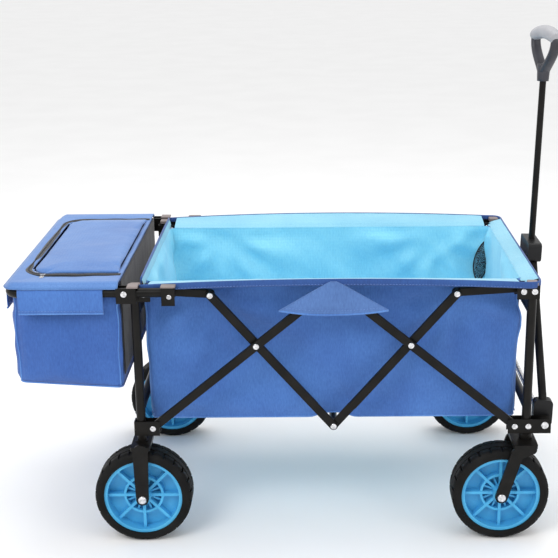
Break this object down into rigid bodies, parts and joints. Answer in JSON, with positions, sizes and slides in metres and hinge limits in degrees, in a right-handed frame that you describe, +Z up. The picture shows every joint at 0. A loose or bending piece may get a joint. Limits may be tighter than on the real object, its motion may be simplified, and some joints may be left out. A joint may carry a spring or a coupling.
{
  "type": "folding beach cart",
  "caption": "Folding fabric pull cart with scissor side frames, swivel front wheels, a telescoping D-grip handle and a lidded cooler bag on the rear rack.",
  "frame": {"origin": "on the ground under the middle of the cart's overall length and width", "axes": "+X forward towards the pull handle, +Y to the cart's left, +Z up"},
  "size_m": [1.1437, 0.648, 1.0411],
  "materials": {
    "black_powder_coat": "satin powder coat",
    "zinc_rivet": "bright zinc",
    "taupe_moulding": "satin",
    "black_moulding": "fine grain",
    "grey_grip": "soft touch",
    "light_blue_rim": "semi-gloss",
    "black_tyre": "matte rubber",
    "blue_fabric": "woven polyester",
    "black_fabric": "woven polyester"
  },
  "bodies": {
    "rear_frame": {"rear_posts": "black_powder_coat", "rear_low_cross_tube": "black_powder_coat", "rear_high_cross_tube": "black_powder_coat", "rear_post_caps": "taupe_moulding", "rear_upper_brackets": "black_powder_coat", "rear_lower_brackets": "black_powder_coat", "rear_frame_rivets": "zinc_rivet", "rear_forks": "black_powder_coat", "rear_axles": "zinc_rivet", "basket_tub": "blue_fabric", "floor_board": "black_fabric", "side_flaps": "blue_fabric", "cooler_saddles": "black_powder_coat", "saddle_rivets": "zinc_rivet", "rack_covers": "taupe_moulding"},
    "front_frame": {"front_posts": "black_powder_coat", "front_low_cross_tube": "black_powder_coat", "front_high_cross_tube": "black_powder_coat", "front_post_caps": "taupe_moulding", "front_upper_brackets": "black_powder_coat", "front_lower_brackets": "black_powder_coat", "front_frame_rivets": "zinc_rivet", "caster_sockets": "black_powder_coat", "handle_axle": "zinc_rivet"},
    "rear_long_bars": {"rear_long_bars": "black_powder_coat", "rear_long_bar_rivets": "zinc_rivet"},
    "front_long_bars": {"front_long_bars": "black_powder_coat", "front_long_bar_rivets": "zinc_rivet"},
    "rear_short_bars": {"rear_short_bars": "black_powder_coat", "rear_short_bar_rivets": "zinc_rivet"},
    "front_short_bars": {"front_short_bars": "black_powder_coat", "front_short_bar_rivets": "zinc_rivet", "centre_cross_tube": "black_powder_coat"},
    "rear_stub_links": {"rear_stub_links": "black_powder_coat"},
    "front_stub_links": {"front_stub_links": "black_powder_coat"},
    "cooler_rack": {"cooler_rack": "black_powder_coat", "stub_hooks": "black_powder_coat", "cooler_bag": "blue_fabric", "cooler_back_panel": "black_fabric", "cooler_sleeves": "blue_fabric"},
    "cooler_lid": {"cooler_lid": "blue_fabric"},
    "zip_slider": {"zip_slider": "zinc_rivet"},
    "handle_frame": {"handle_feet": "black_moulding", "handle_legs": "black_powder_coat", "handle_block": "black_moulding"},
    "handle_pole": {"handle_pole": "black_powder_coat", "d_grip": "grey_grip"},
    "lock_button": {"lock_button": "black_moulding"},
    "caster_left": {"caster_fork_left": "black_powder_coat", "caster_axle_left": "zinc_rivet"},
    "front_wheel_left": {"front_rim_left": "light_blue_rim", "front_tyre_left": "black_tyre"},
    "rear_wheel_left": {"rear_rim_left": "light_blue_rim", "rear_tyre_left": "black_tyre"},
    "caster_right": {"caster_fork_right": "black_powder_coat", "caster_axle_right": "zinc_rivet"},
    "front_wheel_right": {"front_rim_right": "light_blue_rim", "front_tyre_right": "black_tyre"},
    "rear_wheel_right": {"rear_rim_right": "light_blue_rim", "rear_tyre_right": "black_tyre"}
  },
  "joints": [
    {"name": "fold", "type": "hinge", "parent": "rear_frame", "child": "rear_long_bars", "pos_m": [-0.28535, 0, 0.2485], "axis": [0, -1, 0], "range_deg": [0, 38.14], "deforming": ["basket_tub", "floor_board", "side_flaps"]},
    {"name": "centre_top_fold", "type": "hinge", "parent": "rear_long_bars", "child": "front_long_bars", "pos_m": [0.08965, 0, 0.556], "axis": [0, 1, 0], "range_deg": [0, 76.3]},
    {"name": "front_low_fold", "type": "hinge", "parent": "front_long_bars", "child": "front_frame", "pos_m": [0.46465, 0, 0.2485], "axis": [0, -1, 0], "range_deg": [0, 38.15]},
    {"name": "rear_cross_fold", "type": "hinge", "parent": "rear_long_bars", "child": "rear_short_bars", "pos_m": [-0.0681, 0, 0.42664], "axis": [0, 1, 0], "range_deg": [0, 68.61]},
    {"name": "front_cross_fold", "type": "hinge", "parent": "front_long_bars", "child": "front_short_bars", "pos_m": [0.2474, 0, 0.42664], "axis": [0, -1, 0], "range_deg": [0, 68.61]},
    {"name": "rear_stub_fold", "type": "hinge", "parent": "rear_frame", "child": "rear_stub_links", "pos_m": [-0.29135, 0, 0.54], "axis": [0, -1, 0], "range_deg": [0, 74.58]},
    {"name": "front_stub_fold", "type": "hinge", "parent": "front_frame", "child": "front_stub_links", "pos_m": [0.47065, 0, 0.54], "axis": [0, 1, 0], "range_deg": [0, 74.58]},
    {"name": "cooler_rack_lift", "type": "hinge", "parent": "rear_frame", "child": "cooler_rack", "pos_m": [-0.32735, 0, 0.548], "axis": [0, 1, 0], "range_deg": [0, 50]},
    {"name": "cooler_lid_hinge", "type": "hinge", "parent": "cooler_rack", "child": "cooler_lid", "pos_m": [-0.34435, 0, 0.566], "axis": [0, 1, 0], "range_deg": [0, 85]},
    {"name": "zip_slide", "type": "slide", "parent": "cooler_rack", "child": "zip_slider", "axis": [1, 0, 0], "range_m": [0, 0.13]},
    {"name": "handle_swing", "type": "hinge", "parent": "front_frame", "child": "handle_frame", "pos_m": [0.52665, 0, 0.251], "axis": [0, 1, 0], "range_deg": [0, 100]},
    {"name": "pole_slide", "type": "slide", "parent": "handle_frame", "child": "handle_pole", "axis": [-0.0227, 0, -0.9997], "range_m": [0, 0.24]},
    {"name": "lock_press", "type": "slide", "parent": "handle_frame", "child": "lock_button", "axis": [-0.9997, 0, 0.0227], "range_m": [0, 0.004], "stiffness_N_per_m": 400},
    {"name": "caster_swivel_left", "type": "hinge", "parent": "front_frame", "child": "caster_left", "pos_m": [0.48965, 0.276, 0.22], "axis": [0, 0, 1], "continuous": true},
    {"name": "front_wheel_spin_left", "type": "hinge", "parent": "caster_left", "child": "front_wheel_left", "pos_m": [0.43865, 0.276, 0.1015], "axis": [0, 1, 0], "continuous": true},
    {"name": "rear_wheel_spin_left", "type": "hinge", "parent": "rear_frame", "child": "rear_wheel_left", "pos_m": [-0.31035, 0.276, 0.1015], "axis": [0, 1, 0], "continuous": true},
    {"name": "caster_swivel_right", "type": "hinge", "parent": "front_frame", "child": "caster_right", "pos_m": [0.48965, -0.276, 0.22], "axis": [0, 0, 1], "continuous": true},
    {"name": "front_wheel_spin_right", "type": "hinge", "parent": "caster_right", "child": "front_wheel_right", "pos_m": [0.43865, -0.276, 0.1015], "axis": [0, 1, 0], "continuous": true},
    {"name": "rear_wheel_spin_right", "type": "hinge", "parent": "rear_frame", "child": "rear_wheel_right", "pos_m": [-0.31035, -0.276, 0.1015], "axis": [0, 1, 0], "continuous": true}
  ],
  "couplings": [
    {"joint": "centre_top_fold", "follows": "fold", "ratio": 2},
    {"joint": "front_low_fold", "follows": "fold", "ratio": 1},
    {"joint": "rear_cross_fold", "follows": "fold", "ratio": 1.7984},
    {"joint": "front_cross_fold", "follows": "fold", "ratio": 1.7984},
    {"joint": "rear_stub_fold", "follows": "fold", "ratio": 1.9551},
    {"joint": "front_stub_fold", "follows": "fold", "ratio": 1.9551}
  ]
}
